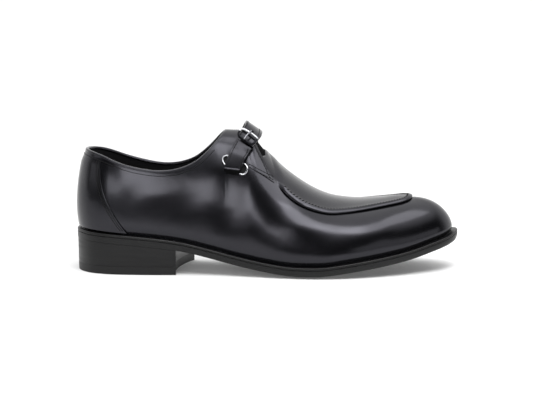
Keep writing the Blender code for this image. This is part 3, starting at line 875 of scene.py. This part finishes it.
counterSeam = {"heights": range(34, 90, 2), "past": 2.0, "rows": {"A": 1.6, "B": 3.4}}
facingSeam = {"heights": range(74, 106, 2), "inset": 1.9}
quarterSeam = {"line": ((135.0, 82.4), (139.5, 80.0), (147.5, 75.7), (155.0, 71.6)),  # x and z
               "rows": {"A": 1.2, "B": 3.4}}
tabSeam = {"Back": (min, 2.4, range(86, 104)), "Front": (max, -2.4, range(82, 99))}
strapSeam = {"Back": (min, 2.1), "Front": (max, -2.1)}
strapSpan = {"across": range(-13, 18), "height": 110.0}


def sewCounter():
    counter = overlays["heel_counter"]
    surface = surfaceOf(counter)
    for name, (side, way) in sides.items():
        edge = edgeOf(counter, counterSeam["heights"], axisZ, axisX, max,
                      lambda p: p.y * side > counterSeam["past"])
        for row, inset in counterSeam["rows"].items():
            route = [spot(x - inset, 0, z) for z, x in edge]
            sew("counterStitch" + name + row, surface, route, way, seamLook["fine"])


def sewFacings():
    for name, (side, way) in sides.items():
        facing = overlays["facing_lateral" if side < 0 else "facing_medial"]
        surface = surfaceOf(facing, upper)
        front = edgeOf(facing, facingSeam["heights"], axisZ, axisX, max)
        route = [spot(x - facingSeam["inset"], 0, z) for z, x in front]
        sew("facingStitch" + name, surface, route, way, seamLook["fine"])
        for row, inset in quarterSeam["rows"].items():
            route = [spot(x, 0, z + inset) for x, z in quarterSeam["line"]]
            sew("quarterStitch" + name + row, surface, route, way, seamLook["fine"])


def sewStrap():
    tab = overlays["buckle_tab"]
    surface = surfaceOf(tab)
    for name, (pick, inset, heights) in tabSeam.items():
        edge = edgeOf(tab, heights, axisZ, axisX, pick)
        route = [spot(x + inset, 0, z) for z, x in edge]
        sew("tabStitch" + name, surface, route, fromOuterSide, seamLook["fine"])
    strap = overlays["strap"]
    surface = surfaceOf(strap)
    for name, (pick, inset) in strapSeam.items():
        edge = edgeOf(strap, strapSpan["across"], axisY, axisX, pick)
        route = [spot(x + inset, y, strapSpan["height"]) for y, x in edge]
        sew("strapStitch" + name, surface, route, downwards, seamLook["fine"])


# Apron seam: slanted stitches between the raised edge and the plug

apronSeam = {"inside": 3.3, "from": 160.0, "centre": (205.0, 0.0), "height": 60.0, "rounding": 4,
             "turns": range(-160, 161, 4), "sliceHalf": 2.5}  # degrees round the centre


def sewApron():
    apron = overlays["apron"]
    surface = surfaceOf(apron)
    centre = Vector(apronSeam["centre"])
    offs = [Vector((p.x, p.y)) - centre for p in (shoePlace(v.co) for v in apron.data.vertices)]
    polar = [(math.atan2(off.y, off.x), off.length) for off in offs]
    route = []
    for degrees in apronSeam["turns"]:
        turn = math.radians(degrees)
        near = [far for angle, far in polar if abs(angle - turn) < math.radians(apronSeam["sliceHalf"])]
        route.append(centre + Vector((math.cos(turn), math.sin(turn))) * max(near))
    inner = []
    for before, here, after in zip(route, route[1:], route[2:]):
        run = (after - before).normalized()
        place = here + Vector((-run.y, run.x)) * apronSeam["inside"]
        if here.x > apronSeam["from"]:
            inner.append(spot(place.x, place.y, apronSeam["height"]))
    for _ in range(apronSeam["rounding"]):
        middles = [(a + b * 2 + c) / 4 for a, b, c in zip(inner, inner[1:], inner[2:])]
        inner = [inner[0]] + middles + [inner[-1]]
    sew("apronStitch", surface, inner, downwards, seamLook["apron"])


# Line of stitches under the collar binding

collarSeam = {"below": 3.0, "front": 112.0, "heel": 34.0, "middle": 1.0}


def inwards(place):  # from outside, level, on to the middle line of the shoe
    here = shoePlace(place)
    axis = Vector((max(collarSeam["heel"], here.x), collarSeam["middle"], here.z))
    return (axis - here).normalized()


def sewCollar():
    surface = surfaceOf(upper, overlays["heel_counter"])
    down = Vector((0, 0, collarSeam["below"] * mm))
    start = max(range(len(collarEdge)), key=lambda k: collarEdge[k].x)
    around = collarEdge[start:] + collarEdge[:start]
    route = [p - down for p in around if shoePlace(p).x < collarSeam["front"]]
    sew("collarStitch", surface, route, inwards, seamLook["collar"])


sewCounter()
sewFacings()
sewStrap()
sewApron()
sewCollar()
print("seams sewn")


# Stage: pale floor, soft light and the camera

stageLook = {"left": -12.0, "right": 12.0, "near": -3.0, "far": 12.0}  # metres
lampLook = {  # place, width and height, power and aim, in metres and watts
    "heelStrip": ((-0.235, -0.33, 0.124), (0.13, 0.046), 0.1, (-0.12, 0.0, 0.07)),
    "quarterStrip": ((-0.118, -0.33, 0.168), (0.105, 0.093), 0.2, (-0.09, 0.0, 0.07)),
    "vampBox": ((0.12, -0.37, 0.7), (0.32, 0.36), 2.2, (0.03, 0.0, 0.05)),
    "toePanel": ((0.85, -0.66, 0.2), (1.1, 0.3), 1.0, (0.1, -0.03, 0.03)),
    "topBox": ((0.0, -0.06, 0.95), (0.18, 0.24), 0.5, (0.0, 0.0, 0.1)),
    "facingBox": ((0.178, -0.104, 0.278), (0.26, 0.11), 0.32, (-0.004, -0.018, 0.083)),
    "tabBox": ((-0.125, -0.255, 0.64), (0.12, 0.12), 0.18, (-0.02, -0.02, 0.095)),
    "backStrip": ((-0.9, -0.35, 0.35), (0.5, 0.4), 0.6, (-0.14, 0.0, 0.06)),
}
# A white ceiling and a white sweep behind; the wall behind the camera is dim, so the side keeps a dark band.
roomLook = {"wall": 0.02, "ceiling": 1.7, "wallTop": 0.54, "ceilingFrom": 0.84,
            "sweep": 1.3, "sweepFrom": -0.15, "sweepFull": 0.35}
viewLook = {"aim": (152.0, 0.0, 50.0), "elevation": 9.0, "distance": 1500.0, "lens": 128.67,
            "shift": (-3.77, 4.56), "pictureWide": 533}  # the shift and the width are in pixels


def makeStage():
    bpy.ops.object.select_all(action="DESELECT")
    bpy.ops.mesh.primitive_plane_add(size=1.0, location=(0, 0, 0))
    floor = bpy.context.active_object
    floor.name = "paleFloor"
    for vertex in floor.data.vertices:
        vertex.co.x = stageLook["left" if vertex.co.x < 0 else "right"]
        vertex.co.y = stageLook["near" if vertex.co.y < 0 else "far"]
    # Matt card, lit from behind a little, as a light table is: the shadow stays pale.
    card = newMaterial("mattWhiteSweep", Base_Color=hexColour("#e6e6e6"), Roughness=0.9,
                       Emission_Color=hexColour("#ffffff"), Emission_Strength=0.1)[0]
    floor.data.materials.append(card)


def makeLights():
    for name, (place, size, power, aim) in lampLook.items():
        bpy.ops.object.light_add(type="AREA", location=place)
        lamp = bpy.context.active_object
        lamp.name = name
        lamp.data.shape = "RECTANGLE"
        lamp.data.size, lamp.data.size_y = size
        lamp.data.energy = power
        lamp.rotation_euler = (Vector(aim) - Vector(place)).to_track_quat("-Z", "Y").to_euler()
        lamp.visible_camera = False


def makeWorld():
    world = bpy.data.worlds.new("softRoom")
    bpy.context.scene.world = world
    world.use_nodes = True
    tree = world.node_tree
    way = addNode(tree, "ShaderNodeTexCoord").outputs["Generated"]
    parts = addNode(tree, "ShaderNodeSeparateXYZ", {"Vector": way}).outputs
    glow = mapTo(tree, parts["Z"], roomLook["wallTop"], roomLook["ceilingFrom"], roomLook["wall"],
                 roomLook["ceiling"], interpolation_type="SMOOTHSTEP")
    sweep = mapTo(tree, parts["Y"], roomLook["sweepFrom"], roomLook["sweepFull"], 0.0, roomLook["sweep"],
                  interpolation_type="SMOOTHSTEP")
    both = addNode(tree, "ShaderNodeMath", {0: glow, 1: sweep}, operation="MAXIMUM")
    background = tree.nodes["Background"]
    background.inputs["Color"].default_value = hexColour("#ffffff")
    wire(tree, background, Strength=both.outputs["Value"])


def makeCamera():
    bpy.ops.object.camera_add()
    camera = bpy.context.active_object
    tilt = math.radians(viewLook["elevation"])
    back = Vector((0.0, -math.cos(tilt), math.sin(tilt)))
    camera.location = spot(*viewLook["aim"]) + back * viewLook["distance"] * mm
    camera.rotation_euler = (-back).to_track_quat("-Z", "Y").to_euler()
    camera.data.lens = viewLook["lens"]
    camera.data.shift_x, camera.data.shift_y = (s / viewLook["pictureWide"] for s in viewLook["shift"])
    bpy.context.scene.camera = camera


makeStage()
makeLights()
makeWorld()
makeCamera()
bpy.context.scene.view_settings.view_transform = "Standard"
print("stage set")
